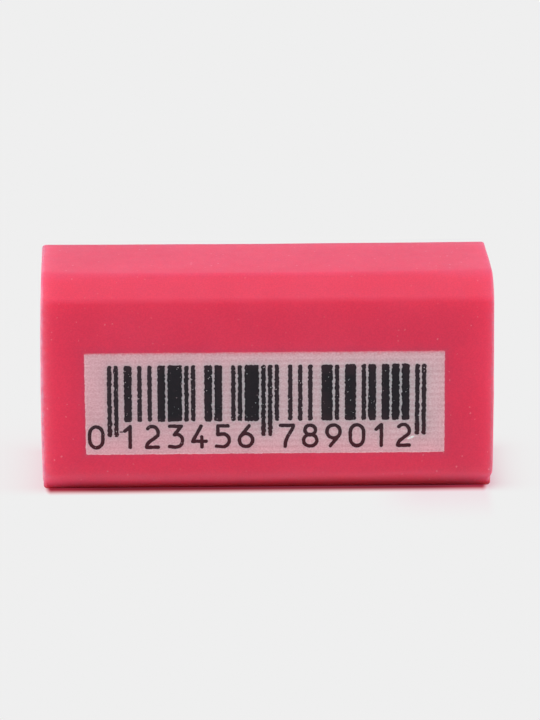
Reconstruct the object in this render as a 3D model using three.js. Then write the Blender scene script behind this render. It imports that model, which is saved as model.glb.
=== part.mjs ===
// A block eraser that stands on one of its narrow long sides, with a printed panel on its front face.
// Millimetres, +Z up. X runs along the length, and the printed face looks towards -Y.
// The origin is on the ground, under the middle of the block.

import * as THREE from "three";

// Block
const LENGTH = 45; // cut end to cut end, along X
const HEIGHT = 22.7; // along Z, as it stands
const THICKNESS = 15; // front face to back face, along Y
const CHAMFER = 2.15; // each long edge is cut back this far on both of its faces
const CREASE_RADIUS = 1; // soft crease where a chamfer meets a face
const CUT_EDGE_RADIUS = 0.3; // rounding round each cut end

// White panel printed on the front face
const PANEL_MARGIN_LEFT = 4.39; // from the block's left end
const PANEL_MARGIN_RIGHT = 4.74; // from the block's right end
const PANEL_MARGIN_BOTTOM = 4.49; // from the block's underside
const PANEL_MARGIN_TOP = 7.58; // from the block's top
const PANEL_CORNER = 0.25;
const INK_FILM = 0.03; // thickness of each printed layer

// Black bars printed on the panel
const CODE = "0123456789012"; // a plain counting sequence, which ends in its own check digit
const QUIET_LEFT = 2.23; // bare strip from the panel's left edge to the first bar
const QUIET_RIGHT = 1.93; // bare strip from the last bar to the panel's right edge
const BAR_MARGIN_TOP = 1.32; // from the panel's upper edge to every bar
const DATA_MARGIN_BOTTOM = 3.44; // from the panel's lower edge to the bars of the digits
const GUARD_MARGIN_BOTTOM = 1.86; // from the panel's lower edge to the longer guard bars
const INK_SPREAD = 0.04; // ink creeps this far past each side of a bar
const BAR_CORNER = 0.08;

// Number of chords in a quarter turn
const CREASE_CHORDS = 12;
const CUT_EDGE_CHORDS = 4;
const INK_CHORDS = 4;

// Colours and finishes
const SOFT_RUBBER = { color: 0xee5673, roughness: 0.55, metalness: 0 };
const WHITE_INK = { color: 0xd3aab3, roughness: 0.6, metalness: 0 };
const BLACK_INK = { color: 0x242328, roughness: 0.5, metalness: 0 };

// A digit's seven modules in the first half of the symbol, 1 for ink, in odd parity.
const ODD_DIGITS = [
  "0001101", "0011001", "0010011", "0111101", "0100011",
  "0110001", "0101111", "0111011", "0110111", "0001011",
];
// The first digit of the code isn't drawn: it sets which of the next six are odd or even.
const PARITY = [
  "OOOOOO", "OOEOEE", "OOEEOE", "OOEEEO", "OEOOEE",
  "OEEOOE", "OEEEOO", "OEOEOE", "OEOEEO", "OEEOEO",
];
const SIDE_GUARD = "101";
const CENTRE_GUARD = "01010";
const HALF_DIGITS = 6;

function named(name, geometry, finish) {
  const mesh = new THREE.Mesh(geometry, new THREE.MeshStandardMaterial(finish));
  mesh.name = name;
  return mesh;
}

// A closed outline through corners that run anticlockwise and turn only left, each rounded by an arc.
function roundedOutline(corners, radius) {
  const outline = new THREE.Shape();
  const points = corners.map(([x, y]) => new THREE.Vector2(x, y));
  points.forEach((corner, i) => {
    const before = points.at(i - 1);
    const after = points[(i + 1) % points.length];
    const into = corner.clone().sub(before).normalize();
    const out = after.clone().sub(corner).normalize();
    const turn = Math.atan2(into.cross(out), into.dot(out));
    const start = corner.clone().addScaledVector(into, -radius * Math.tan(turn / 2));
    const inward = new THREE.Vector2(-into.y, into.x);
    const centre = start.addScaledVector(inward, radius);
    const angle = Math.atan2(-inward.y, -inward.x);
    outline.absarc(centre.x, centre.y, radius, angle, angle + turn, false);
  });
  outline.closePath();
  return outline;
}

// The section across the block: local x is the part's Y, and local y is its Z.
function blockSection() {
  const face = THICKNESS / 2;
  const edge = face - CHAMFER;
  const corners = [
    [-edge, 0],
    [edge, 0],
    [face, CHAMFER],
    [face, HEIGHT - CHAMFER],
    [edge, HEIGHT],
    [-edge, HEIGHT],
    [-face, HEIGHT - CHAMFER],
    [-face, CHAMFER],
  ];
  return roundedOutline(corners, CREASE_RADIUS);
}

// The section is drawn out along X, and a round bevel runs round each cut end.
function eraserBlock() {
  const turnPerCrease = 1 / 2; // a crease turns through half of a quarter turn
  const arcPieces = 2; // an extruded outline splits an arc into twice curveSegments chords
  const geometry = new THREE.ExtrudeGeometry(blockSection(), {
    depth: LENGTH - 2 * CUT_EDGE_RADIUS,
    curveSegments: (CREASE_CHORDS * turnPerCrease) / arcPieces,
    bevelEnabled: true,
    bevelThickness: CUT_EDGE_RADIUS,
    bevelSize: CUT_EDGE_RADIUS,
    bevelOffset: -CUT_EDGE_RADIUS,
    bevelSegments: CUT_EDGE_CHORDS,
  });
  const block = named("eraser_block", geometry, SOFT_RUBBER);
  block.quaternion.set(0.5, 0.5, 0.5, 0.5); // x to Y, y to Z, z to X
  block.position.x = CUT_EDGE_RADIUS - LENGTH / 2;
  return block;
}

// A film of ink on the front face, in the face's own frame: x along X, y up, z out of the face.
function inkFilm(name, { left, right, bottom, top }, corner, layer, finish) {
  const radius = Math.min(corner, (right - left) / 2, (top - bottom) / 2);
  const corners = [[left, bottom], [right, bottom], [right, top], [left, top]];
  const arcPieces = 2;
  const geometry = new THREE.ExtrudeGeometry(roundedOutline(corners, radius), {
    depth: INK_FILM,
    curveSegments: INK_CHORDS / arcPieces,
    bevelEnabled: false,
  });
  const film = named(name, geometry, finish);
  film.position.z = layer * INK_FILM;
  return film;
}

const reversed = (modules) => [...modules].reverse().join("");
const inverted = (modules) => modules.replace(/./g, (module) => (module === "1" ? "0" : "1"));

// The whole symbol as a string of modules, 1 for ink and 0 for bare panel.
function symbolModules(code) {
  const digits = [...code].map(Number);
  const parity = PARITY[digits[0]];
  const left = digits.slice(1, 1 + HALF_DIGITS).map((digit, i) => {
    const odd = ODD_DIGITS[digit];
    return parity[i] === "O" ? odd : reversed(inverted(odd));
  });
  const right = digits.slice(1 + HALF_DIGITS).map((digit) => inverted(ODD_DIGITS[digit]));
  return [SIDE_GUARD, ...left, CENTRE_GUARD, ...right, SIDE_GUARD].join("");
}

// The panel and its bars. The symbol fills the panel between its two quiet strips.
function printedFace() {
  const face = new THREE.Group();
  face.rotation.x = Math.PI / 2;
  face.position.y = -THICKNESS / 2;

  const panel = {
    left: PANEL_MARGIN_LEFT - LENGTH / 2,
    right: LENGTH / 2 - PANEL_MARGIN_RIGHT,
    bottom: PANEL_MARGIN_BOTTOM,
    top: HEIGHT - PANEL_MARGIN_TOP,
  };
  face.add(inkFilm("print_panel", panel, PANEL_CORNER, 0, WHITE_INK));

  const modules = symbolModules(CODE);
  const first = panel.left + QUIET_LEFT;
  const pitch = (panel.right - QUIET_RIGHT - first) / modules.length;
  const centreStart = (modules.length - CENTRE_GUARD.length) / 2;
  const isGuard = (start) =>
    start < SIDE_GUARD.length ||
    start >= modules.length - SIDE_GUARD.length ||
    (start >= centreStart && start < centreStart + CENTRE_GUARD.length);

  [...modules.matchAll(/1+/g)].forEach((run, i) => {
    const end = run.index + run[0].length;
    const foot = isGuard(run.index) ? GUARD_MARGIN_BOTTOM : DATA_MARGIN_BOTTOM;
    const bar = {
      left: first + run.index * pitch - INK_SPREAD,
      right: first + end * pitch + INK_SPREAD,
      bottom: panel.bottom + foot,
      top: panel.top - BAR_MARGIN_TOP,
    };
    const name = `bar_${String(i + 1).padStart(2, "0")}`;
    face.add(inkFilm(name, bar, BAR_CORNER, 1, BLACK_INK));
  });
  return face;
}

const eraser = new THREE.Group();
eraser.name = "block_eraser";
eraser.add(eraserBlock(), printedFace());

export default eraser;
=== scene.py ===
"""A pink block eraser with a printed panel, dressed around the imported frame.

The block has soft creases and slightly uneven cut ends. The print is thin films of ink, whose ragged outlines
are the zero lines of distance fields. Lengths are in millimetres unless a name or comment says otherwise, and
MM turns them into Blender's metres.
"""

import math

import bmesh
import bpy
import numpy as np
from mathutils import Matrix, Vector, noise
from mathutils.geometry import delaunay_2d_cdt


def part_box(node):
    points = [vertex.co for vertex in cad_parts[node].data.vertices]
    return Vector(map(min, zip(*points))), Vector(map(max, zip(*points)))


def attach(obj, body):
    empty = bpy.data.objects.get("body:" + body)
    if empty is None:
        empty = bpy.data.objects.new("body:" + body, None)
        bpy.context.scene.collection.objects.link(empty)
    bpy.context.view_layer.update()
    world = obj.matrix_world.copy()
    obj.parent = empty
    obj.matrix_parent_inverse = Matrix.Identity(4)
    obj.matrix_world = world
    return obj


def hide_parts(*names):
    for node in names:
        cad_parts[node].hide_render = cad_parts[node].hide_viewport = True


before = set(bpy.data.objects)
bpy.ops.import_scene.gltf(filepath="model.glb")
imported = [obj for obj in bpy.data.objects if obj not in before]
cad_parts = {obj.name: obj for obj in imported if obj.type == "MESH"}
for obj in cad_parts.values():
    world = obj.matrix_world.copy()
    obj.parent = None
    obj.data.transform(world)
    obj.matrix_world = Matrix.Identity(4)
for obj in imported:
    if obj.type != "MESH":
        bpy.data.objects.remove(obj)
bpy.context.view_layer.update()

MM = 0.001

# Camera, fitted to the block's edges in the photograph
IMAGE_HEIGHT_PX = 720
FOCAL_PX = 4243.9
SENSOR_MM = 36.0
CAMERA_AZIMUTH_DEG = -1.230
CAMERA_ELEVATION_DEG = 17.872
CAMERA_ROLL_DEG = -0.080
CAMERA_DISTANCE = 430.0
CAMERA_TARGET = (0.46, 0.0, 11.88)
CAMERA_CLIP = 10.0

# Block
CHAMFER = 2.15
CREASE_RADIUS = 1.0
SOLE_CREASE_RADIUS = 2.2  # the two creases along the sole are worn rounder
TOP_CREASE_GROWTH = 1.6  # how much rounder the top's front crease gets by the ends
CUT_EDGE_RADIUS = 0.35
CREASE_STEPS = 8
CUT_EDGE_STEPS = 7
MESH_STEP = 0.5
CAP_RINGS = 9
FACE_WAVER = 0.025  # unevenness of the long faces that carry no print
FACE_WAVER_CELL = 9.0
FACE_WAVER_SEATS = ((11, 0, 0), (0, 23, 0))  # where in the noise it is read, for Y and for Z
FRONT_STILL = 0.2  # up to this depth behind the printed face there is no waver
FRONT_EASE = 2.0  # it comes in over this depth
SOLE_EASE = 3.0  # and over this height
TOP_CROWN = 0.1  # the top swells across its width
TOP_BOW = 0.06  # and sags along its length

# Cut ends, as the blade left them, by side: how far an end stands out in its middle, how much further at its
# back and at its top, and how far it falls away at both top and foot
END_LEANS = {-1: (0.19, 0.13, -0.06, 0.165), 1: (0.08, -0.08, -0.055, 0.054)}
END_REACH = 2.5  # the end's shape fades out over this length
END_WAVER = 0.02
END_WAVER_CELL = 4.5
END_WAVER_SEAT = 7.3  # where in the noise it is read
END_WAVER_FINE = (0.4, 3.1)  # strength and frequency of its finer part
# Nicks in the cut edges and, with a depth below zero, swellings: side, y, z, radius and depth
NICKS = (
    (1, -6.3, 0.9, 1.6, 0.2),
    (1, -6.5, 1.0, 0.8, 0.1),
    (1, -7.4, 15.0, 2.4, -0.015),
    (1, -7.4, 10.4, 1.8, -0.02),
    (1, 6.2, 20.9, 0.6, 0.1),
    (-1, 0.5, 22.5, 0.5, 0.1),
    (-1, -6.0, 0.5, 0.9, 0.1),
    (-1, -7.4, 5.0, 3.0, -0.01),
)

# Print
FIELD_STEP = 0.04
FIELD_CLEARANCE = 5e-4  # outlines keep about this far from a field's grid points
LATTICE_SIZE = 64
THREAD_PITCH = 0.6  # of the printing screen's threads
PANEL_MARGIN = 0.3  # of the field round it
PANEL_CORNER = 0.15
PANEL_RAGGED = 0.03
PANEL_NOISES = ((0.2, 1.0, 5), (0.9, 0.7, 6))  # cell, strength and seed
PANEL_SKEW = 0.0066  # it leans this much to the left for each length up
PANEL_CELL = (0.13, 0.35)  # spacing of its inner points, across and up
BAR_MARGIN = 0.15  # of the field round a bar
BAR_CORNER = 0.17
BAR_RAGGED = (0.059, 0.041)  # along an edge close to another bar, and along any other
BAR_RAGGED_CELL = 0.17
BAR_CLOSE = 0.5
BAR_SWELL = 0.015  # ink stands this far past the plain bars
BAR_STEPPED = 0.015  # steps that the threads leave
BAR_DRIFT = 2.4  # radians by which the steps wander
BAR_DRIFT_CELL = 0.8
BAR_SEEDS = (20, 60, 200)  # of ragged edges, pinholes and steps, to which a bar adds its number
PINHOLES_PER_AREA = 1.0  # to a square millimetre
PINHOLE_RADIUS = (0.02, 0.06)
INK_BLEED = 0.4  # light that wanders about this far under the print dies at black ink
INK_FRINGE = 0.12  # a trace of white ink reaches this far past the panel
INK_LAYER = "near_ink"
SYMBOL_MODULES = 95
DIGIT_MODULES = 7
SIDE_GUARD_MODULES = 3
CENTRE_GUARD_MODULES = 5
CODE = "0123456789012"
DIGIT_WIDTH = 1.33  # between stroke centres
DIGIT_HEIGHT = 2.2  # between stroke centres
DIGIT_STROKE = 0.37
DIGIT_RISE = 0.56  # panel's lower edge to the lowest stroke's edge
FIRST_DIGIT_GAP = 1.2  # first bar to the middle of the digit before it
LEFT_HALF_SHIFT = -0.09  # the digits of the left half sit this far off their bars' middle
DIGIT_RAGGED = 0.025
DIGIT_RAGGED_CELL = 0.22
DIGIT_SEED = 100
DIGIT_BLEED = 0.19  # share of the light beside a stroke that dies under it
INK_SPREAD = 0.04
SMEARED_BAR = 1  # counted from 0: ink is smeared from this bar towards a digit
SMEARED_DIGIT = 1
SMEAR_LENGTH = 0.5
SMEAR_WIDTH = 0.14
SMEAR_RISE = 2.38  # from the panel's lower edge

# Materials. Colours are 8-bit screen values, tints are factors, and most pairs are the two ends of a change.
WHOLE = (0.0, 1.0)
NOISE_SPAN = (0.3, 0.7)  # most values of a noise lie between these
MIDDLE_SPAN = (0.25, 0.75)  # and nearly all of them between these

# Rubber. Changes along it are in shares of its length from its middle. Pairs for its ends start at the left.
RUBBER_COLOURS = ((239, 75, 108), (244, 79, 112))  # the two ends of its faint clouds
# Painted shade: the top is a little less red, for how light falls on it
TOP_SHADE_TINT = (0.955, 1.0, 1.0)
LOW_GLOW_ALONG = (0.3, 0.45)  # painted light: the middle is redder, most of all low down
LOW_GLOW_HEIGHTS = (4.0, 9.0)
LOW_GLOW_ABOVE = 0.33
LOW_GLOW_TINT = (1.09, 1.0, 1.0)
LOW_SHADE_ALONG = (0.36, 0.44)  # painted shade: the right end is dimmer low down
LOW_SHADE_HEIGHTS = (5.0, 10.0)
LOW_SHADE_TINT = (0.94, 0.98, 0.97)
BLEED_TINT = (0.87, 1.08, 1.06)  # right beside the print
FRINGE_SHARE = 0.06
# For the blade marks and the trace of white ink, and for painted highlights
PALE_MARK_AND_HIGHLIGHT_COLOUR = (252, 200, 210)
HIGHLIGHT_REACH = 0.4  # painted highlight along the creases of the broad faces
HIGHLIGHT_SHARES = (0.085, 0.015)
RIDGE_GLOW_REACH = 0.5  # the painted highlight on the upper ones is redder too
RIDGE_GLOW_TINT = (1.13, 1.0, 1.0)
STREAK_SIZE = 0.25  # marks of the blade
STREAK_SHARES = (0.03, 0.09)
STREAK_RELIEF = 0.5
EDGE_SHEEN_COLOUR = (234, 140, 192)  # painted sheen: a wide faint band along the cut edges
EDGE_SHEEN_REACH = 0.8
EDGE_SHEEN_SHARE = 0.12
EDGE_HIGHLIGHT_COLOUR = (240, 200, 214)  # painted highlight: a narrow gritty one
EDGE_HIGHLIGHT_REACH = (0.31, 0.2)
EDGE_HIGHLIGHT_SIDES = (1.0, 0.4)
RIM_REACH = 0.12  # the very edge is darker
RIM_TINTS = ((0.45, 0.58, 0.6, 1.0), (0.54, 0.63, 0.55, 1.0))
BACK_RIDGE_COLOUR = (196, 118, 140)
BACK_RIDGE_REACH = 0.35
BACK_RIDGE_SHARE = 0.7
DUST_COLOUR = (252, 190, 202)
DUST_LAYERS = ((0.66, 0.12, 0.28), (2.6, 0.11, 0.3))  # cell, largest radius and share of each kind of speck
DUST_FREE_HEIGHT = 20.6  # the ridge that fingers wipe has the fewest specks
DUST_FREE_REACH = (0.8, 2.2)
DUST_FREE_SHARE = 0.3
DUST_ON_TOP = 1.15
FOOT_SHADE_TINT = (0.5, 0.03, 0.03)  # painted shade right above the floor
FOOT_SHADE_RISE = (1.75, 2.4)
FOOT_SHADE_ENDS_ALONG = (0.36, 0.5)  # the ends take less of it
FOOT_SHADE_ENDS_TINT = (1.2, 1.7, 1.9)

# White ink. Heights are above the panel's lower edge.
WHITE_COLOURS = ((238, 188, 198), (237, 196, 204))  # at the panel's left edge and to the right
WHITE_RIGHT = 0.3  # how far right, as a share of the right edge's place
BORDER_COLOUR = (242, 190, 200)
BORDER_WIDTH = 1.0
BORDER_SHARE = 0.8
WHITE_FOOT_COLOUR = (247, 187, 198)
WHITE_FOOT_HEIGHT = 2.4
WHITE_FOOT_SHARE = 0.85
BRIM_HIGHLIGHT_COLOUR = (255, 205, 215)  # painted highlight at the very edge
BRIM_HIGHLIGHT_WIDTH = (0.04, 0.18)
BRIM_HIGHLIGHT_HEIGHTS = (0.3, 0.6)
BRIM_HIGHLIGHT_SHARES = (0.8, 0.5)
FEATHER_COLOUR = (228, 96, 120)  # thin ink along the upper edge
FEATHER_WIDTH = (0.15, 0.4)
FEATHER_SHARE = 0.7
# Painted shade: white ink near black ink is darker and less pink, as light under the print dies there
INK_SHADE_TINT = (0.36, 0.8, 0.75)
SCUFF_PLACE = (14.38, 6.04)  # of a pale scuff on the panel
SCUFF_HALF_SIZE = (0.46, 0.15)
SCUFF_SLANT_DEG = 24
THREAD_DRIFT = 0.8  # radians
THREAD_SHARES = (0.056, 0.1)  # at the panel's left edge and to the right
COVER_TINTS = ((0.89, 0.775, 0.8, 1.0), (1.1, 1.21, 1.185, 1.0))  # thin ink and thick ink

# Black ink
BLACK_COLOUR = (27, 24, 31)
# Painted light: thin bars are redder with light from the rubber round them
THIN_BAR_GLOW_COLOUR = (53, 37, 45)
THIN_BAR_GLOW_SPAN = (0.3, 0.75)  # shares of ink nearby
LOW_BLACK_COLOUR = (72, 24, 35)
LOW_BLACK_HEIGHTS = (0.4, 4.0)  # above the panel's lower edge
BLOTCH_COLOUR = (48, 38, 44)
BARE_COLOUR = (185, 160, 168)
BARE_SPOTS = (0.45, 0.075, 0.5)  # cell, largest radius and share

# Light
BACKDROP_GREY = 0.863
WORLD_LIGHT = 0.12
# Each lamp's place, its side length and its watts
SOFTBOXES = {
    "overhead": ((0, -140, 700), 700, 3.36),
    "left_side": ((-550, 28, 190), 450, 2.3),
    "right_side": ((550, 28, 190), 450, 1.95),
}

# Floor. Its colours are linear.
FLOOR_SIZE = 6000.0
FLOOR_CARD_GREY = 0.95  # what the floor gives back to the block
FOOT_CARD_GREY = 0.58  # and gives back right at its foot
FOOT_CARD_REACH = 4.0
CONTACT_REACH = 0.9  # the traced shadow is covered up over this distance
CONTACT_CLEAR = 0.985  # share of it that is covered up right at the foot
CONTACT_AT_ENDS = 0.3  # share of all these distances at the two ends
CONTACT_SHORT = 0.8  # how far short of each end the sole's contact stops
CONTACT_SPREAD = (1.15, 1.08)  # factors for the distances at the left and right end
# Painted contact shadow: each channel of the floor comes back between its first two values, as distances.
# It starts from the third along the foot, and from the fourth by the ends, where it comes back earlier too.
CONTACT_CHANNELS = {
    "Red": (0.55, 2.04, 0.135, 0.29),
    "Green": (0.78, 2.4, 0.0075, 0.013),
    "Blue": (0.76, 2.38, 0.0125, 0.027),
}
CONTACT_EARLIER = 0.1
CONTACT_ENDS = (0.72, 1.0)  # shares of the sole's half length where these change over
HAZE = 0.15  # share of a faint painted pink glow that stays in front of the right end
HAZE_COLOUR = (BACKDROP_GREY, 0.05, 0.33, 1.0)
HAZE_COMES = (0.45, 0.75)  # along the sole, in shares of its half length
HAZE_GOES = (1.0, 1.06)
HAZE_START = (0.8, 2.2)  # it comes in between these distances
HAZE_REACH = 11.0
SHADE_COLOURS = ((0.85, 0.15, 0.3, 1.0), (0.62, 0.13, 0.25, 1.0))  # of the faint shade beside the two ends
SHADE_DEPTH = 6.0  # it is fullest up to this far from the block's middle plane
SHADE_SHARES = (0.27, 0.55)  # at the left and right end
SHADE_REACH = (2.5, 1.4)  # distance over which it fades by a factor of e
SHADE_FRONT = (-6.5, -2.0)  # between these places along Y the shade comes in
SHADE_FRONT_PAST_ENDS = (-7.5, -4.0)  # and between these beyond the block's ends
SHADE_ENDS = (0.96, 1.0)  # shares of the block's half length where these change over


def srgb(screen_colour):
    """A colour in 8-bit screen values as linear RGBA."""
    linear = []
    for value in screen_colour:
        share = value / 255
        linear.append(share / 12.92 if share <= 0.04045 else ((share + 0.055) / 1.055) ** 2.4)
    return (*linear, 1.0)


def scaled(shares, whole):
    return [share * whole for share in shares]


class Nodes:
    """A node tree that grows by calls. Apart from add, each gives back the output of what it made."""

    def __init__(self, tree):
        self.tree = tree
        tree.nodes.clear()

    def add(self, kind, inputs=None, **settings):
        """A new node, with its settings made and its inputs set or linked."""
        made = self.tree.nodes.new(kind)
        for name, value in settings.items():
            setattr(made, name, value)
        for key, value in (inputs or {}).items():
            if isinstance(value, bpy.types.NodeSocket):
                self.tree.links.new(value, made.inputs[key])
            else:
                made.inputs[key].default_value = value
        return made

    def calc(self, operation, *values):
        return self.add("ShaderNodeMath", dict(enumerate(values)), operation=operation).outputs[0]

    def chain(self, operation, first, *others):
        """Values joined by a math operation, one after another."""
        for other in others:
            first = self.calc(operation, first, other)
        return first

    def times(self, *factors):
        return self.chain("MULTIPLY", *factors)

    def away(self, value, place):
        """Distance from a place, on either side of it."""
        return self.calc("ABSOLUTE", self.calc("SUBTRACT", value, place))

    def past(self, value, place):
        """Distance past a place, and 0 before it."""
        return self.calc("MAXIMUM", self.calc("SUBTRACT", value, place), 0.0)

    def hypot(self, first, second):
        return self.calc("SQRT", self.calc("ADD", self.times(first, first), self.times(second, second)))

    def ramp(self, value, span, start=0.0, end=1.0):
        """The value taken smoothly from the span to start..end."""
        low, high = span
        inputs = {"Value": value, "From Min": low, "From Max": high, "To Min": start, "To Max": end}
        return self.add("ShaderNodeMapRange", inputs, interpolation_type="SMOOTHSTEP").outputs["Result"]

    def fading(self, gap, reach):
        """1 at no distance, and smaller by a factor of e for each reach."""
        return self.calc("EXPONENT", self.times(self.calc("DIVIDE", gap, reach), -1.0))

    def mix(self, share, first, second, blend="MIX"):
        inputs = {0: share, 6: first, 7: second}
        return self.add("ShaderNodeMix", inputs, data_type="RGBA", blend_type=blend).outputs[2]

    def paint(self, share, colour, screen_colour):
        """The colour with a share of another one, which is given in 8-bit screen values."""
        return self.mix(share, colour, srgb(screen_colour))

    def tint(self, share, colour, factors):
        """The colour with its channels multiplied, by the given share."""
        return self.mix(share, colour, (*factors, 1.0), "MULTIPLY")


class Surface(Nodes):
    """The nodes of a new material, with a point's place in millimetres as coords, x, y and z."""

    def __init__(self, name):
        self.material = bpy.data.materials.new(name)
        self.material.use_nodes = True
        super().__init__(self.material.node_tree)
        inputs = {0: self.add("ShaderNodeTexCoord").outputs["Object"], "Scale": 1 / MM}
        self.coords = self.add("ShaderNodeVectorMath", inputs, operation="SCALE").outputs["Vector"]
        self.x, self.y, self.z = self.add("ShaderNodeSeparateXYZ", {"Vector": self.coords}).outputs

    def noise(self, size, detail=2.0, roughness=0.5, stretch=None):
        """Noise of about the given size, from 0 to 1, with the coordinates multiplied by stretch."""
        coords = self.coords
        if stretch:
            coords = self.add("ShaderNodeMapping", {"Vector": coords, "Scale": stretch}).outputs["Vector"]
        inputs = {"Vector": coords, "Scale": 1 / size, "Detail": detail, "Roughness": roughness}
        return self.add("ShaderNodeTexNoise", inputs).outputs["Fac"]

    def shaken(self, size):
        """The coordinates pushed about by noise, so that specks come out uneven."""
        push = self.add("ShaderNodeTexNoise", {"Vector": self.coords, "Scale": 1 / size, "Detail": 1.0})
        inputs = {0: push.outputs["Color"], 1: (size, size, size), 2: self.coords}
        return self.add("ShaderNodeVectorMath", inputs, operation="MULTIPLY_ADD").outputs["Vector"]

    def specks(self, coords, cell, radius, strength):
        """A mask of small round specks, scattered one to a cell and of uneven size."""
        inputs = {"Vector": coords, "Scale": 1 / cell, "Randomness": 1.0}
        cells = self.add("ShaderNodeTexVoronoi", inputs, feature="F1")
        pick = self.add("ShaderNodeSeparateColor", {"Color": cells.outputs["Color"]}).outputs["Red"]
        size = self.calc("ADD", self.ramp(pick, (0.1, 1.0), 0.0, radius / cell), 1e-4)
        share = self.calc("DIVIDE", cells.outputs["Distance"], size)
        return self.times(self.ramp(share, (0.5, 1.0), 1.0, 0.0), strength)

    def near_ink(self):
        """The share of black ink near a point of the print, as stored on its mesh."""
        return self.add("ShaderNodeAttribute", attribute_name=INK_LAYER).outputs["Fac"]

    def relief(self, height, depth):
        """Normals for relief of the given depth, from a height of 0 to 1."""
        inputs = {"Height": height, "Distance": depth * MM, "Strength": 1.0}
        return self.add("ShaderNodeBump", inputs).outputs["Normal"]

    def finish(self, shader):
        """The material, with a shader node put on its surface."""
        self.add("ShaderNodeOutputMaterial", {"Surface": shader.outputs[0]})
        return self.material


class BlockSurface(Surface):
    """A Surface for the block, with a point's distances from its edges and creases."""

    def __init__(self, name, size):
        super().__init__(name)
        self.length, self.thickness, self.height = size
        self.along = self.calc("ABSOLUTE", self.x)
        self.rightwards = self.ramp(self.x, (-self.length / 4, self.length / 4))
        self.off_middle = self.away(self.z, self.height / 2)
        self.on_top = self.ramp(self.z, (self.height - 0.6, self.height - 0.1))

        across = self.calc("ABSOLUTE", self.y)
        slant = self.times(self.calc("ADD", across, self.off_middle), math.sqrt(0.5))
        chamfer_reach = (self.thickness / 2 + self.height / 2 - CHAMFER) * math.sqrt(0.5)
        from_chamfer = self.calc("SUBTRACT", chamfer_reach, slant)
        from_face = self.calc("SUBTRACT", self.thickness / 2, across)
        from_top_or_sole = self.calc("SUBTRACT", self.height / 2, self.off_middle)
        from_outline = self.chain("MINIMUM", from_face, from_top_or_sole, from_chamfer)
        from_top = self.calc("SUBTRACT", self.height, self.z)
        self.from_end = self.calc("SUBTRACT", self.length / 2, self.along)
        self.from_edge = self.chain("MAXIMUM", self.from_end, from_outline, 0.0)
        self.from_crease = self.chain("MAXIMUM", from_face, from_chamfer, 0.0)
        self.from_ridge = self.chain("MAXIMUM", from_top, from_chamfer, 0.0)


# In the functions for materials, s is the Surface to which they add nodes.


def panel_inset(s, panel):
    """Distance from the panel's outline, above zero inside it."""
    left, right, bottom, top = panel
    insets = []
    for place, low, high in ((s.x, left, right), (s.z, bottom, top)):
        insets.append(s.calc("SUBTRACT", (high - low) / 2, s.away(place, (low + high) / 2)))
    return s.calc("MINIMUM", *insets)


def pink_with_painted_light(s):
    """Varying pink, with painted shade on top and low at the right end, and painted light low in the middle.
    """
    cloud = s.ramp(s.noise(7.0, detail=3), NOISE_SPAN)
    colour = s.mix(cloud, *map(srgb, RUBBER_COLOURS))
    powder = s.ramp(s.noise(0.14), NOISE_SPAN, 0.96, 1.04)
    colour = s.mix(1.0, colour, powder, "MULTIPLY")
    colour = s.tint(s.on_top, colour, TOP_SHADE_TINT)
    inner = s.ramp(s.along, scaled(LOW_GLOW_ALONG, s.length), 1.0, 0.0)
    low_glow = s.times(inner, s.ramp(s.z, LOW_GLOW_HEIGHTS, 1.0, LOW_GLOW_ABOVE))
    colour = s.tint(low_glow, colour, LOW_GLOW_TINT)
    right_end = s.ramp(s.x, scaled(LOW_SHADE_ALONG, s.length))
    low_shade = s.times(right_end, s.ramp(s.z, LOW_SHADE_HEIGHTS, 1.0, 0.0))
    return s.tint(low_shade, colour, LOW_SHADE_TINT)


def beside_print(s, colour, panel):
    """Rubber round the panel is darker, where light dies under the print, and has a trace of white ink."""
    off_print = s.calc("MAXIMUM", s.times(panel_inset(s, panel), -1.0), 0.0)
    front = -s.thickness / 2
    on_front = s.ramp(s.y, (front + 0.1, front + 0.5), 1.0, 0.0)
    colour = s.tint(s.times(s.fading(off_print, INK_BLEED), on_front), colour, BLEED_TINT)
    fringe = s.times(s.fading(off_print, INK_FRINGE), on_front, FRINGE_SHARE)
    return s.paint(fringe, colour, PALE_MARK_AND_HIGHLIGHT_COLOUR)


def painted_crease_light(s, colour):
    """Rubber with painted highlights along its creases, redder on the upper ones, and paler at the ends of
    its top.
    """
    crease_highlight = s.ramp(s.z, scaled((0.25, 0.75), s.height), *HIGHLIGHT_SHARES)
    colour = s.paint(s.times(s.fading(s.from_crease, HIGHLIGHT_REACH), crease_highlight), colour, PALE_MARK_AND_HIGHLIGHT_COLOUR)
    high_up = s.ramp(s.z, scaled((0.5, 0.75), s.height))
    colour = s.tint(s.times(s.fading(s.from_crease, RIDGE_GLOW_REACH), high_up), colour, RIDGE_GLOW_TINT)
    by_tips = s.ramp(s.along, scaled((0.25, 0.45), s.length), 0.0, 0.015)
    return s.paint(s.times(s.on_top, by_tips), colour, PALE_MARK_AND_HIGHLIGHT_COLOUR)


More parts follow.
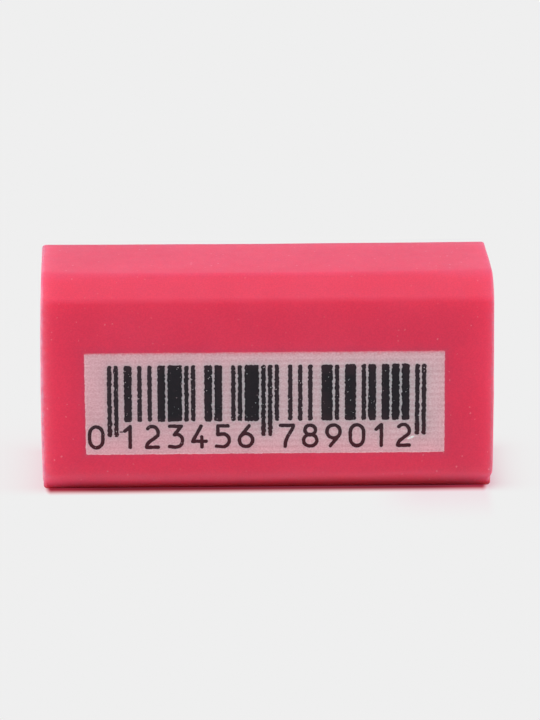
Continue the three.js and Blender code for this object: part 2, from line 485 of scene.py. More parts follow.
def cut_edge_light_and_marks(s, colour, on_cut, streak):
    """Rubber with painted sheen and highlight along its cut edges, a dark rim, and blade marks on its ends.
    """
    colour = s.paint(s.times(s.fading(s.from_edge, EDGE_SHEEN_REACH), EDGE_SHEEN_SHARE), colour, EDGE_SHEEN_COLOUR)
    marks = s.times(on_cut, s.ramp(streak, NOISE_SPAN, *STREAK_SHARES))
    colour = s.paint(marks, colour, PALE_MARK_AND_HIGHLIGHT_COLOUR)
    edge_highlight = s.times(
        s.fading(s.from_edge, s.ramp(s.rightwards, WHOLE, *EDGE_HIGHLIGHT_REACH)),
        s.ramp(s.noise(0.5, detail=3), MIDDLE_SPAN, 0.5, 0.9),
        s.ramp(s.rightwards, WHOLE, *EDGE_HIGHLIGHT_SIDES),
        s.ramp(s.z, (0.3, 2.5)),
        s.ramp(s.off_middle, scaled((0.38, 0.5), s.height), 1.0, 0.4),
    )
    colour = s.paint(edge_highlight, colour, EDGE_HIGHLIGHT_COLOUR)
    rim_tint = s.mix(s.rightwards, *RIM_TINTS)
    return s.mix(s.fading(s.from_edge, RIM_REACH), colour, rim_tint, "MULTIPLY")


def greyed_back_ridge(s, colour):
    """Rubber with a greyer crease along the back of its top."""
    on_back = s.calc("GREATER_THAN", s.y, 0.0)
    ridge = s.times(s.fading(s.from_ridge, BACK_RIDGE_REACH), on_back, BACK_RIDGE_SHARE)
    return s.paint(ridge, colour, BACK_RIDGE_COLOUR)


def dusted(s, colour):
    """Rubber with specks of dust, most of them by its ends and on its top."""
    spots = s.shaken(0.2)
    dust = s.chain("MAXIMUM", *(s.specks(spots, *layer) for layer in DUST_LAYERS))
    by_ends = s.ramp(s.along, scaled((0.2, 0.42), s.length), 0.4, 1.4)
    off_ridge = s.ramp(s.away(s.z, DUST_FREE_HEIGHT), DUST_FREE_REACH, DUST_FREE_SHARE, 1.0)
    settled = s.calc("MAXIMUM", s.times(by_ends, off_ridge), s.times(s.on_top, DUST_ON_TOP))
    return s.paint(s.times(dust, settled), colour, DUST_COLOUR)


def painted_foot_shade(s, colour):
    """Painted shade: rubber darker right above the floor, and less so by its ends."""
    foot_shade = s.ramp(s.z, (0.0, s.ramp(s.rightwards, WHOLE, *FOOT_SHADE_RISE)), 1.0, 0.0)
    colour = s.tint(foot_shade, colour, FOOT_SHADE_TINT)
    by_ends = s.times(foot_shade, s.ramp(s.along, scaled(FOOT_SHADE_ENDS_ALONG, s.length)))
    return s.tint(by_ends, colour, FOOT_SHADE_ENDS_TINT)


def rubber_material(size, panel):
    """Translucent pink rubber: dusty, with painted light at its edges and painted shade by its foot and
    print.
    """
    s = BlockSurface("soft_rubber", size)
    on_cut = s.ramp(s.from_end, (0.02, 0.2), 1.0, 0.0)
    streak = s.noise(STREAK_SIZE, detail=3, stretch=(1.0, 0.2, 1.0))
    colour = beside_print(s, pink_with_painted_light(s), panel)
    colour = cut_edge_light_and_marks(s, painted_crease_light(s, colour), on_cut, streak)
    colour = dusted(s, greyed_back_ridge(s, colour))
    colour = painted_foot_shade(s, colour)
    grain = s.noise(0.22, detail=4, roughness=0.6)
    scored = {0: s.times(on_cut, STREAK_RELIEF), 2: grain, 3: streak}
    height = s.add("ShaderNodeMix", scored, data_type="FLOAT").outputs[0]
    return s.finish(s.add("ShaderNodeBsdfPrincipled", {
        "Base Color": colour,
        "Roughness": s.ramp(s.noise(1.2, detail=3), NOISE_SPAN, 0.46, 0.52),
        "Normal": s.relief(height, 0.012),
        "Specular IOR Level": 0.12,
        "Subsurface Weight": 1.0,
        "Subsurface Radius": (1.0, 0.25, 0.3),
        "Subsurface Scale": 4.0 * MM,
    }))


def scuff(s):
    """1 on the panel's scuff, and 0 off it."""
    scuff_x, scuff_z = SCUFF_PLACE
    half_length, half_width = SCUFF_HALF_SIZE
    inputs = {
        "Vector": s.add("ShaderNodeCombineXYZ", {"X": s.x, "Z": s.z}).outputs["Vector"],
        "Location": (scuff_x, 0, scuff_z),
        "Rotation": (0, -math.radians(SCUFF_SLANT_DEG), 0),
        "Scale": (half_length, 1, half_width),
    }
    spot = s.add("ShaderNodeMapping", inputs, vector_type="TEXTURE").outputs["Vector"]
    from_spot = s.add("ShaderNodeVectorMath", {0: spot}, operation="LENGTH").outputs["Value"]
    return s.ramp(from_spot, (0.5, 1.1), 1.0, 0.0)


def edged_ink(s, colour, panel):
    """White ink with its border, its foot, a painted highlight at its edge and its feathered upper edge."""
    bottom, top = panel[2:]
    inset = panel_inset(s, panel)
    above_foot = s.calc("SUBTRACT", s.z, bottom)
    below_top = s.calc("SUBTRACT", top, s.z)
    uneven_width = s.noise(0.5)
    border = s.ramp(inset, (0.0, BORDER_WIDTH), BORDER_SHARE, 0.0)
    colour = s.paint(border, colour, BORDER_COLOUR)
    foot = s.ramp(above_foot, (0.0, WHITE_FOOT_HEIGHT), WHITE_FOOT_SHARE, 0.0)
    colour = s.paint(foot, colour, WHITE_FOOT_COLOUR)
    brim_highlight = s.calc("LESS_THAN", inset, s.ramp(uneven_width, NOISE_SPAN, *BRIM_HIGHLIGHT_WIDTH))
    brim_highlight_share = s.ramp(above_foot, BRIM_HIGHLIGHT_HEIGHTS, *BRIM_HIGHLIGHT_SHARES)
    colour = s.paint(s.times(brim_highlight, brim_highlight_share), colour, BRIM_HIGHLIGHT_COLOUR)
    feather_width = s.ramp(uneven_width, NOISE_SPAN, *FEATHER_WIDTH)
    feather = s.ramp(below_top, (0.0, feather_width), FEATHER_SHARE, 0.0)
    return s.paint(feather, colour, FEATHER_COLOUR)


def panel_material(panel):
    """White ink with the screen's weave in it, letting the pink through along its edges, and painted shade by
    black ink.
    """
    s = Surface("white_ink")
    left, right = panel[:2]
    rightwards = s.ramp(s.x, (left, WHITE_RIGHT * right))
    colour = s.mix(rightwards, *map(srgb, WHITE_COLOURS))
    colour = edged_ink(s, colour, panel)
    patchy = s.ramp(s.noise(2.4), NOISE_SPAN, 0.97, 1.03)
    colour = s.mix(1.0, colour, patchy, "MULTIPLY")
    colour = s.tint(s.near_ink(), colour, INK_SHADE_TINT)
    colour = s.mix(scuff(s), colour, (1, 1, 1, 1))

    drift = s.times(s.noise(3.0, detail=1), THREAD_DRIFT)
    wave = s.calc("SINE", s.calc("MULTIPLY_ADD", s.z, 2 * math.pi / THREAD_PITCH, drift))
    patches = s.ramp(s.noise(1.1), (0.4, 0.7), 0.35, 1.0)
    strength = s.ramp(rightwards, WHOLE, *THREAD_SHARES)
    grain = s.noise(0.16, detail=3, roughness=0.6, stretch=(0.8, 1.0, 1.0))
    weave = s.calc("MULTIPLY_ADD", s.times(wave, patches), strength, grain)
    cover = s.mix(s.ramp(weave, MIDDLE_SPAN), *COVER_TINTS)
    return s.finish(s.add("ShaderNodeBsdfPrincipled", {
        "Base Color": s.mix(1.0, colour, cover, "MULTIPLY"),
        "Roughness": s.ramp(grain, NOISE_SPAN, 0.5, 0.7),
        "Normal": s.relief(weave, 0.014),
        "Specular IOR Level": 0.35,
    }))


def black_material(panel):
    """Black ink, with painted red light in thin bars, and redder towards the panel's lower edge."""
    s = Surface("black_ink")
    thin = s.ramp(s.near_ink(), THIN_BAR_GLOW_SPAN, 1.0, 0.0)
    colour = s.paint(thin, srgb(BLACK_COLOUR), THIN_BAR_GLOW_COLOUR)
    low = s.ramp(s.calc("SUBTRACT", s.z, panel[2]), LOW_BLACK_HEIGHTS, 1.0, 0.0)
    colour = s.paint(low, colour, LOW_BLACK_COLOUR)
    blotch = s.ramp(s.noise(0.35, detail=3), (0.5, 0.8), 0.0, 0.35)
    colour = s.paint(blotch, colour, BLOTCH_COLOUR)
    grain = s.noise(0.12, detail=3)
    return s.finish(s.add("ShaderNodeBsdfPrincipled", {
        "Base Color": s.paint(s.specks(s.coords, *BARE_SPOTS), colour, BARE_COLOUR),
        "Roughness": s.ramp(grain, NOISE_SPAN, 0.45, 0.65),
        "Normal": s.relief(grain, 0.01),
        "Specular IOR Level": 0.2,
    }))


def mesh_object(name, vertices_mm, faces, material, smooth):
    """A mesh from points in millimetres, with its faces turned outwards."""
    mesh = bpy.data.meshes.new(name)
    mesh.from_pydata([tuple(c * MM for c in v) for v in vertices_mm], [], faces)
    form = bmesh.new()
    form.from_mesh(mesh)
    bmesh.ops.recalc_face_normals(form, faces=form.faces)
    form.to_mesh(mesh)
    form.free()
    if smooth:
        mesh.shade_smooth()
    else:
        mesh.shade_flat()
    mesh.materials.append(material)
    made = bpy.data.objects.new(name, mesh)
    bpy.context.scene.collection.objects.link(made)
    return made


def section_ring(thickness, height, inset, end_share):
    """Points (y, z) round the section, pulled in by inset, at a share of the way to an end."""
    half_y, half_z = thickness / 2, height / 2
    chamfer_reach = (half_y + half_z - CHAMFER) / math.sqrt(2)
    chamfer_flat = math.sqrt(2) * CHAMFER
    reaches = [half_z, chamfer_reach, half_y, chamfer_reach] * 2
    flats = [thickness - 2 * CHAMFER, chamfer_flat, height - 2 * CHAMFER, chamfer_flat] * 2
    sides = len(flats)
    top_front = sides // 2  # creases are counted from the sole's back one
    radii = [CREASE_RADIUS] * sides
    radii[0] = radii[-1] = SOLE_CREASE_RADIUS
    radii[top_front] += TOP_CREASE_GROWTH * end_share ** 4
    normals = [math.radians(-90 + 45 * k) for k in range(sides)]
    arcs = []
    for k, radius in enumerate(radii):
        after = (k + 1) % sides
        lines = [[math.cos(normals[i]), math.sin(normals[i])] for i in (k, after)]
        centre = np.linalg.solve(lines, [reaches[k] - radius, reaches[after] - radius])
        turns = np.linspace(normals[k], normals[k] + math.pi / 4, CREASE_STEPS + 1)
        spokes = np.stack([np.cos(turns), np.sin(turns)], axis=1)
        arcs.append(centre + (radius - inset) * spokes)
    ring = []
    for k, arc_points in enumerate(arcs):
        after = (k + 1) % sides
        ring.extend(arc_points)
        start, end = arc_points[-1], arcs[after][0]
        steps = round(flats[after] / MESH_STEP)
        ring.extend(start + (end - start) * i / steps for i in range(1, steps))
    return [(y, z + half_z) for y, z in ring]


def block_stations(length):
    """Places along X with how far the section is pulled in there, round both cut ends."""
    half = length / 2
    left = []
    for i in range(CUT_EDGE_STEPS + 1):
        turn = math.pi / 2 * i / CUT_EDGE_STEPS
        inset = CUT_EDGE_RADIUS * (1 - math.sin(turn))
        left.append((-half + CUT_EDGE_RADIUS * (1 - math.cos(turn)), inset))
    straight = length - 2 * CUT_EDGE_RADIUS
    count = round(straight / MESH_STEP)
    middle = [(-half + CUT_EDGE_RADIUS + straight * i / count, 0.0) for i in range(1, count)]
    right = [(-x, inset) for x, inset in reversed(left)]
    return left + middle + right


def end_shift(side, x_past, y, z, thickness, height):
    """How far a point on or near a cut end stands out past the end's nominal plane."""
    out, back, top, fall = END_LEANS[side]
    across = y / (thickness / 2)
    up = z / (height / 2) - 1
    seat = Vector((y / END_WAVER_CELL, z / END_WAVER_CELL, END_WAVER_SEAT * side))
    fine_strength, fine_frequency = END_WAVER_FINE
    shift = out + back * across + top * up - fall * up * up
    shift += END_WAVER * (noise.noise(seat) + fine_strength * noise.noise(seat * fine_frequency))
    for nick_side, nick_y, nick_z, radius, depth in NICKS:
        if nick_side == side:
            gap = math.hypot(y - nick_y, z - nick_z, x_past) / radius
            shift -= depth * math.exp(-2 * gap * gap)
    return shift


def uneven(point, length, thickness, height):
    """A block's point moved by the shape of its cut end, the plain faces' waver and the top's own shape."""
    x, y, z = point
    side = 1 if x > 0 else -1
    x_past = abs(x) - length / 2
    near_end = np.clip(1 + x_past / END_REACH, 0, 1) ** 2
    moved_x = x + side * near_end * end_shift(side, x_past, y, z, thickness, height)
    spot = Vector((x, y, z)) / FACE_WAVER_CELL
    free_front = np.clip((y + thickness / 2 - FRONT_STILL) / FRONT_EASE, 0, 1)
    free_base = np.clip(z / SOLE_EASE, 0, 1)
    waver = FACE_WAVER * free_front * free_base
    waver_y, waver_z = (waver * noise.noise(spot + Vector(seat)) for seat in FACE_WAVER_SEATS)
    top_share = np.clip(1 - (height - z) / CHAMFER, 0, 1)
    across = y / (thickness / 2 - CHAMFER / 2)
    crown = top_share * TOP_CROWN * max(0.0, 1 - across * across)
    sag = top_share * TOP_BOW * (1 - (2 * x / length) ** 2)
    return moved_x, y + waver_y, z + waver_z + crown - sag


def shrinking_rings(outer_ring, thickness, height):
    """Rings that fill a cut end, from close to its middle line out to just inside its outer ring."""
    middle_line = height / 2 - thickness / 2
    rings = []
    for k in range(CAP_RINGS - 1, 0, -1):
        share = k / CAP_RINGS
        ring = []
        for y, z in outer_ring:
            z_middle = height / 2 + float(np.clip(z - height / 2, -middle_line, middle_line))
            ring.append((y * (1 - share), z + (z_middle - z) * share))
        rings.append(ring)
    return rings


def build_block(material, size):
    length, thickness, height = size
    cap_rings = shrinking_rings(section_ring(thickness, height, CUT_EDGE_RADIUS, 1.0), thickness, height)
    rings = [[(-length / 2, y, z) for y, z in ring] for ring in cap_rings]
    for x, inset in block_stations(length):
        end_share = abs(x) / (length / 2)
        rings.append([(x, y, z) for y, z in section_ring(thickness, height, inset, end_share)])
    rings += [[(length / 2, y, z) for y, z in ring] for ring in reversed(cap_rings)]

    vertices = [uneven(point, length, thickness, height) for ring in rings for point in ring]
    count = len(rings[0])
    last = len(vertices) - count
    faces = []
    for base in range(0, last, count):
        for i in range(count):
            j = (i + 1) % count
            faces.append((base + i, base + j, base + count + j, base + count + i))
    faces.append(tuple(range(count)))
    faces.append(tuple(range(last, len(vertices))))
    return mesh_object("eraser_body", vertices, faces, material, smooth=True)


def lattice_noise(x, z, cell, seed):
    """Smooth noise from -1 to 1 over arrays of points."""
    lattice = np.random.default_rng(seed).uniform(-1, 1, (LATTICE_SIZE, LATTICE_SIZE))
    u, v = x / cell, z / cell
    i, j = np.floor(u).astype(int), np.floor(v).astype(int)
    s, t = u - i, v - j
    s, t = s * s * (3 - 2 * s), t * t * (3 - 2 * t)

    def corner(a, b):
        return lattice[(i + a) % LATTICE_SIZE, (j + b) % LATTICE_SIZE]

    near = corner(0, 0) * (1 - s) + corner(1, 0) * s
    far = corner(0, 1) * (1 - s) + corner(1, 1) * s
    return near * (1 - t) + far * t


def box_field(x, z, box, corner):
    """Signed distance to a rectangle with round corners."""
    left, right, bottom, top = box
    corner = min(corner, (right - left) / 2)
    out_x = np.abs(x - (left + right) / 2) - (right - left) / 2 + corner
    out_z = np.abs(z - (bottom + top) / 2) - (top - bottom) / 2 + corner
    outside = np.hypot(np.maximum(out_x, 0), np.maximum(out_z, 0))
    return outside + np.minimum(np.maximum(out_x, out_z), 0) - corner


def stroke_field(x, z, strokes, width):
    """Signed distance to round-ended strokes along polylines."""
    nearest = np.full(x.shape, np.inf)
    for points in strokes:
        for (ax, az), (bx, bz) in zip(points, points[1:]):
            span = (bx - ax) ** 2 + (bz - az) ** 2
            share = np.clip(((x - ax) * (bx - ax) + (z - az) * (bz - az)) / span, 0, 1)
            gap = np.hypot(x - ax - share * (bx - ax), z - az - share * (bz - az))
            nearest = np.minimum(nearest, gap)
    return nearest - width / 2


def field_grid(box, margin):
    left, right, bottom, top = box
    xs = np.arange(left - margin, right + margin + FIELD_STEP, FIELD_STEP)
    zs = np.arange(bottom - margin, top + margin + FIELD_STEP, FIELD_STEP)
    return np.meshgrid(xs, zs, indexing="ij")


def zero_loops(x, z, field):
    """Closed loops of points, run anticlockwise, where a field crosses zero."""
    field = np.where(np.abs(field) < FIELD_CLEARANCE, FIELD_CLEARANCE, field)
    inside = field < 0
    count = inside[:-1, :-1].astype(int) + inside[1:, :-1] + inside[1:, 1:] + inside[:-1, 1:]
    follow = {}
    for i, j in np.argwhere((count > 0) & (count < 4)).tolist():
        corners = ((i, j), (i + 1, j), (i + 1, j + 1), (i, j + 1))
        sides = list(zip(corners, corners[1:] + corners[:1]))
        crossed = [(a, b) for a, b in sides if inside[a] != inside[b]]
        if not inside[crossed[0][0]]:
            crossed = crossed[1:] + crossed[:1]
        for leaving, entering in zip(crossed[::2], crossed[1::2]):
            follow[tuple(sorted(leaving))] = tuple(sorted(entering))

    def crossing(side):
        a, b = side
        share = field[a] / (field[a] - field[b])
        return Vector((x[a] + share * (x[b] - x[a]), z[a] + share * (z[b] - z[a])))

    loops = []
    while follow:
        start, side = follow.popitem()
        loop = [crossing(start)]
        while side != start:
            loop.append(crossing(side))
            side = follow.pop(side)
        area = sum(a.cross(b) for a, b in zip(loop, loop[1:] + loop[:1])) / 2
        loops.append(loop if area > 0 else loop[::-1])
    return loops


class Film:
    """A flat film of ink, front and back, cut out where fields are below zero."""

    TRIANGLES_INSIDE = 1  # delaunay_2d_cdt's name for triangles within the given loops
    WELD = 1e-6

    def __init__(self, front, back):
        self.front = front
        self.back = back
        self.vertices = []
        self.faces = []

    def cut(self, x, z, field, inner_points=()):
        """Adds the part of one grid where the field is below zero."""
        points, loops = [], []
        for loop in zero_loops(x, z, field):
            loops.append(list(range(len(points), len(points) + len(loop))))
            points += loop
        points += [Vector(point) for point in inner_points]
        made = delaunay_2d_cdt(points, [], loops, self.TRIANGLES_INSIDE, self.WELD)
        spots, _, triangles, _, _, loops_round = made
        self.close(spots, [t for t, around in zip(triangles, loops_round) if len(around) % 2])

    def close(self, spots, sheet):
        """Gives a flat sheet its back and its side walls."""
        base, count = len(self.vertices), len(spots)
        self.vertices += [(x, self.front, z) for x, z in spots]
        self.vertices += [(x, self.back, z) for x, z in spots]
        edges = {(a, b): None for loop in sheet for a, b in zip(loop, loop[1:] + loop[:1])}
        for loop in sheet:
            self.faces.append([base + k for k in loop])
            self.faces.append([base + count + k for k in reversed(loop)])
        for a, b in edges:
            if (b, a) not in edges:
                self.faces.append([base + b, base + a, base + count + a, base + count + b])

    def make(self, name, material, bars, digits):
        """The film as an object that takes no light from the rubber, with the ink near each point."""
        made = mesh_object(name, self.vertices, self.faces, material, smooth=False)
        made.visible_shadow = False
        made.visible_diffuse = False
        x, _, z = np.array(self.vertices).T
        layer = made.data.attributes.new(INK_LAYER, "FLOAT", "POINT")
        layer.data.foreach_set("value", ink_share(x, z, bars, digits))
        return made


def fading_share(lengths):
    """Share of a neighbourhood that fades by e with each length and lies below an edge so many lengths up."""
    tail = 0.5 * np.exp(-np.abs(lengths))
    return np.where(lengths < 0, tail, 1 - tail)


def ink_share(x, z, bars, digits):
    """How much black ink lies near each point: 0 for none, 1 deep inside a wide bar."""
    share = np.zeros(x.shape)
    for left, right, bottom, top in bars:
        across = fading_share((right - x) / INK_BLEED) - fading_share((left - x) / INK_BLEED)
        upright = fading_share((top - z) / INK_BLEED) - fading_share((bottom - z) / INK_BLEED)
        share += across * upright
    for strokes in digits:
        gap = np.maximum(stroke_field(x, z, strokes, DIGIT_STROKE), 0)
        share += DIGIT_BLEED * np.exp(-gap / INK_BLEED)
    return share


def flat_box(node):
    """A print node's left, right, bottom and top in millimetres, and its front and back."""
    low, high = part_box(node)
    return (low.x / MM, high.x / MM, low.z / MM, high.z / MM), low.y / MM, high.y / MM


def build_panel(material, bars, digits):
    box, front, back = flat_box("print_panel")
    left, right, bottom, top = box
    film = Film(front, back)
    x, z = field_grid(box, PANEL_MARGIN)
    ragged = PANEL_RAGGED * sum(share * lattice_noise(x, z, cell, seed) for cell, share, seed in PANEL_NOISES)
    cell_x, cell_z = PANEL_CELL
    inner_x, inner_z = np.arange(left + cell_x, right, cell_x), np.arange(bottom + cell_z, top, cell_z)
    inner_points = [(px, pz) for px in inner_x[1:-1] for pz in inner_z[:-1]]
    leaning = x + PANEL_SKEW * (z - bottom)
    film.cut(x, z, box_field(leaning, z, box, PANEL_CORNER) + ragged, inner_points)
    return film.make("panel_ink", material, bars, digits)


def pinholes(box, seed):
    """Places and sizes of the bare dots in a bar."""
    left, right, bottom, top = box
    draw = np.random.default_rng(seed)
    count = draw.poisson(PINHOLES_PER_AREA * (right - left) * (top - bottom))
    for _ in range(count):
        yield draw.uniform(left, right), draw.uniform(bottom, top), draw.uniform(*PINHOLE_RADIUS)


def build_bars(front, back, material, bars, digits):
    film = Film(front, back)
    gaps = [after[0] - before[1] for before, after in zip(bars, bars[1:])]
    rough = [BAR_RAGGED[0] if gap < BAR_CLOSE else BAR_RAGGED[1] for gap in (math.inf, *gaps, math.inf)]
    for number, box in enumerate(bars):
        x, z = field_grid(box, BAR_MARGIN)
        edge_seed, hole_seed, step_seed = (seed + number for seed in BAR_SEEDS)
        drift = BAR_DRIFT * lattice_noise(x, z, BAR_DRIFT_CELL, step_seed)
        steps = np.sin(2 * math.pi * z / THREAD_PITCH + drift)
        roughness = np.where(x < (box[0] + box[1]) / 2, rough[number], rough[number + 1])
        ragged = roughness * lattice_noise(x, z, BAR_RAGGED_CELL, edge_seed) + BAR_STEPPED * steps
        field = box_field(x, z, box, BAR_CORNER) - BAR_SWELL + ragged
        for hole_x, hole_z, radius in pinholes(box, hole_seed):
            field = np.maximum(field, radius - np.hypot(x - hole_x, z - hole_z))
        film.cut(x, z, field)
    return film.make("bar_ink", material, bars, digits)


def arc(centre_x, centre_z, radius_x, radius_z, start, end):
    """Points along an ellipse's arc, about ten degrees apart, with angles in degrees."""
    steps = max(2, round(abs(end - start) / 10))
    angles = [math.radians(start + (end - start) * i / steps) for i in range(steps + 1)]
    return [(centre_x + radius_x * math.cos(a), centre_z + radius_z * math.sin(a)) for a in angles]


def digit_strokes():
    """Each digit's strokes, in a box from -0.5 to 0.5 across and 0 to 1 up."""
    lower_bowl = arc(0.0, 0.31, 0.5, 0.31, 90, -100)
    two_foot = [(-0.31, 0.22), (-0.42, 0.1), (-0.44, 0.0), (0.43, 0.0)]
    return {
        "0": [arc(0, 0.64, 0.5, 0.36, 0, 180) + arc(0, 0.36, 0.5, 0.36, 180, 360) + [(0.5, 0.64)]],
        "1": [[(-0.32, 0.78), (0.08, 1.0), (0.08, 0.0)]],
        "2": [arc(-0.02, 0.70, 0.45, 0.30, 140, -30) + two_foot],
        "3": [[(-0.46, 1.0), (0.42, 1.0), (-0.1, 0.6), (0.02, 0.6)] + lower_bowl[1:] + [(-0.46, 0.03)]],
        "4": [[(0.14, 1.0), (-0.5, 0.27), (0.5, 0.27)], [(0.2, 0.48), (0.2, 0.0)]],
        "5": [[(0.42, 1.0), (-0.36, 1.0), (-0.36, 0.58)] + lower_bowl + [(-0.46, 0.03)]],
        "6": [[(0.24, 1.0), (-0.3, 0.58)] + arc(0, 0.31, 0.5, 0.31, 150, 510)],
        "7": [[(-0.48, 1.0), (0.48, 1.0), (0.44, 0.88), (0.06, 0.46), (-0.1, 0.22), (-0.13, 0.0)]],
        "8": [arc(0, 0.77, 0.4, 0.23, 0, 360), arc(0, 0.28, 0.5, 0.28, 0, 360)],
        "9": [[(-0.24, 0.0), (0.3, 0.42)] + arc(0, 0.69, 0.5, 0.31, -30, 330)],
    }


def placed_digits(bars, panel):
    """Every digit's strokes, placed under the bars."""
    start = bars[0][0] + INK_SPREAD
    module = (bars[-1][1] - INK_SPREAD - start) / SYMBOL_MODULES
    half = (len(CODE) - 1) // 2
    centres = [start - FIRST_DIGIT_GAP]
    for place in range(2 * half):
        skipped = SIDE_GUARD_MODULES + (CENTRE_GUARD_MODULES if place >= half else 0)
        shift = LEFT_HALF_SHIFT if place < half else 0.0
        centres.append(start + shift + module * (skipped + DIGIT_MODULES * (place + 0.5)))
    foot = panel[2] + DIGIT_RISE + DIGIT_STROKE / 2

    def placed(points, centre):
        return [(centre + px * DIGIT_WIDTH, foot + pz * DIGIT_HEIGHT) for px, pz in points]

    strokes = digit_strokes()
    return [[placed(points, centre) for points in strokes[digit]] for digit, centre in zip(CODE, centres)]


def build_digits(front, back, panel, material, bars, digits):
    film = Film(front, back)
    smear_x, smear_z = bars[SMEARED_BAR][1], panel[2] + SMEAR_RISE
    smear = [(smear_x + SMEAR_WIDTH, smear_z), (smear_x + SMEAR_LENGTH, smear_z)]
    for number, strokes in enumerate(digits):
        smears = [smear] if number == SMEARED_DIGIT else []
        across, upright = zip(*(point for points in strokes + smears for point in points))
        x, z = field_grid((min(across), max(across), min(upright), max(upright)), DIGIT_STROKE)
        field = stroke_field(x, z, strokes, DIGIT_STROKE)
        field = np.minimum(field, stroke_field(x, z, smears, SMEAR_WIDTH))
        film.cut(x, z, field + DIGIT_RAGGED * lattice_noise(x, z, DIGIT_RAGGED_CELL, DIGIT_SEED + number))
    return film.make("digit_ink", material, bars, digits)


def build_camera():
    azimuth = math.radians(CAMERA_AZIMUTH_DEG)
    elevation = math.radians(CAMERA_ELEVATION_DEG)
    back = Vector((
        math.sin(azimuth) * math.cos(elevation),
        -math.cos(azimuth) * math.cos(elevation),
        math.sin(elevation),
    ))
    right = Vector((0, 0, 1)).cross(back).normalized()
    up = back.cross(right)
    turn = Matrix((right, up, back)).transposed() @ Matrix.Rotation(math.radians(CAMERA_ROLL_DEG), 3, "Z")
    lens = bpy.data.cameras.new("camera")
    lens.sensor_width = SENSOR_MM
    lens.lens = FOCAL_PX * SENSOR_MM / IMAGE_HEIGHT_PX
    lens.clip_start = CAMERA_CLIP * MM
    camera = bpy.data.objects.new("camera", lens)
    place = (Vector(CAMERA_TARGET) + back * CAMERA_DISTANCE) * MM
    camera.matrix_world = Matrix.Translation(place) @ turn.to_4x4()
    bpy.context.scene.collection.objects.link(camera)
    bpy.context.scene.camera = camera


def seen_ray(nodes):
    """1 for a ray that the camera sees, directly or in a reflection."""
    path = nodes.add("ShaderNodeLightPath").outputs
    return nodes.chain("MAXIMUM", path["Is Camera Ray"], path["Is Glossy Ray"], path["Is Transmission Ray"])


def build_world():
    world = bpy.data.worlds.new("studio")
    world.use_nodes = True
    nodes = Nodes(world.node_tree)
    grey = (BACKDROP_GREY,) * 3 + (1.0,)
    shown = nodes.add("ShaderNodeBackground", {"Color": grey, "Strength": 1.0})
    light = nodes.add("ShaderNodeBackground", {"Color": (1, 1, 1, 1), "Strength": WORLD_LIGHT})
    both = nodes.add("ShaderNodeMixShader", {0: seen_ray(nodes), 1: light.outputs[0], 2: shown.outputs[0]})
    nodes.add("ShaderNodeOutputWorld", {"Surface": both.outputs[0]})
    bpy.context.scene.world = world


def painted_contact_shadow(s, away, along, sole_x):
    """The floor's painted contact shadow round the sole, where each channel comes back in its own way."""
    changeover = scaled(CONTACT_ENDS, sole_x)
    channels = {}
    for channel, (near, far, inner, outer) in CONTACT_CHANNELS.items():
        start = s.ramp(along, changeover, inner, outer)
        first = s.ramp(along, changeover, near, near - CONTACT_EARLIER)
        channels[channel] = s.ramp(away, (first, far), start, BACKDROP_GREY)
    return s.add("ShaderNodeCombineColor", channels).outputs["Color"]


def with_painted_glow(s, colour, away, sole_x, sole_y):
    """The floor's colour with a faint painted pink glow in front of the right end."""
    haze = s.times(
        s.ramp(s.x, scaled(HAZE_COMES, sole_x), 0.0, HAZE),
        s.ramp(s.x, scaled(HAZE_GOES, sole_x), 1.0, 0.0),
        s.ramp(s.y, (-sole_y, sole_y), 1.0, 0.0),
        s.ramp(away, HAZE_START),
        s.ramp(away, (0.0, HAZE_REACH), 1.0, 0.0),
    )
    return s.mix(haze, colour, HAZE_COLOUR)


def shaded(s, colour, along, across, half_length):
    """The floor's colour with a faint shade beside the block's two ends."""
    outside = s.hypot(s.past(along, half_length), s.past(across, SHADE_DEPTH))
    rightwards = s.ramp(s.x, (-half_length / 2, half_length / 2))
    by_ends = scaled(SHADE_ENDS, half_length)
    fronts = [s.ramp(along, by_ends, *places) for places in zip(SHADE_FRONT, SHADE_FRONT_PAST_ENDS)]
    shade = s.times(
        s.fading(outside, s.ramp(rightwards, WHOLE, *SHADE_REACH)),
        s.ramp(rightwards, WHOLE, *SHADE_SHARES),
        s.ramp(s.y, fronts),
    )
    return s.mix(shade, colour, s.mix(rightwards, *SHADE_COLOURS))


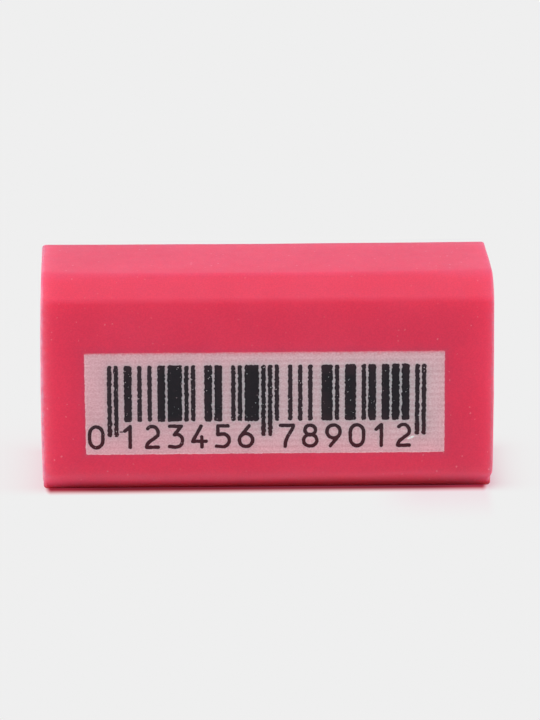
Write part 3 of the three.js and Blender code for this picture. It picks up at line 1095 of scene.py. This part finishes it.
def build_floor(size):
    """A pale floor: plain grey to the camera, apart from painted shadow, shade and glow round the block."""
    s = Surface("floor")
    half_length, half_thickness = size[0] / 2, size[1] / 2
    sole_x = half_length - CONTACT_SHORT
    sole_y = half_thickness - CHAMFER - SOLE_CREASE_RADIUS * math.tan(math.pi / 8)
    along, across = s.calc("ABSOLUTE", s.x), s.calc("ABSOLUTE", s.y)
    past_end = s.calc("DIVIDE", s.past(along, sole_x), CONTACT_AT_ENDS)
    away = s.hypot(past_end, s.past(across, sole_y))
    away = s.calc("DIVIDE", away, s.ramp(s.x, (-sole_x, sole_x), *CONTACT_SPREAD))

    shown = painted_contact_shadow(s, away, along, sole_x)
    shown = with_painted_glow(s, shown, away, sole_x, sole_y)
    shown = shaded(s, shown, along, across, half_length)
    # The camera sees the painted shadow, shade and glow round the block, and plain grey further off
    plain = s.add("ShaderNodeEmission", {"Color": shown, "Strength": 1.0})
    card_grey = s.ramp(away, (0.0, FOOT_CARD_REACH), FOOT_CARD_GREY, FLOOR_CARD_GREY)
    card = s.add("ShaderNodeBsdfDiffuse", {"Color": card_grey})
    clear = s.ramp(away, (0.0, CONTACT_REACH), CONTACT_CLEAR, 1.0)
    share = s.times(clear, seen_ray(s))
    both = s.add("ShaderNodeMixShader", {0: share, 1: card.outputs[0], 2: plain.outputs[0]})

    half = FLOOR_SIZE / 2
    corners = [(-half, -half, 0), (half, -half, 0), (half, half, 0), (-half, half, 0)]
    floor = mesh_object("floor", corners, [(0, 1, 2, 3)], s.finish(both), smooth=False)


def build_softbox(name, place, size, watts):
    """A square lamp that looks at the origin."""
    lamp = bpy.data.lights.new(name, "AREA")
    lamp.shape = "SQUARE"
    lamp.size = size * MM
    lamp.energy = watts
    softbox = bpy.data.objects.new(name, lamp)
    softbox.location = Vector(place) * MM
    softbox.rotation_euler = Vector(place).to_track_quat("Z", "Y").to_euler()
    bpy.context.scene.collection.objects.link(softbox)


bpy.context.scene.view_settings.view_transform = "Standard"
panel_box = flat_box("print_panel")[0]
bar_nodes = sorted(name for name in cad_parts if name.startswith("bar_"))
block_low, block_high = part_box("eraser_block")
block_size = (block_high - block_low) / MM

build_camera()
build_world()
for lamp_name, lamp_settings in SOFTBOXES.items():
    build_softbox(lamp_name, *lamp_settings)
build_floor(block_size)

body = build_block(rubber_material(block_size, panel_box), block_size)
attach(body, "root")
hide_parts("eraser_block")

bar_boxes = [flat_box(name)[0] for name in bar_nodes]
black_front, black_back = flat_box(bar_nodes[0])[1:]
digits_placed = placed_digits(bar_boxes, panel_box)

panel_ink = build_panel(panel_material(panel_box), bar_boxes, digits_placed)
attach(panel_ink, "root")
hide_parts("print_panel")

black = black_material(panel_box)
bar_ink = build_bars(black_front, black_back, black, bar_boxes, digits_placed)
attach(bar_ink, "root")
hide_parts(*bar_nodes)

digit_ink = build_digits(black_front, black_back, panel_box, black, bar_boxes, digits_placed)
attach(digit_ink, "root")
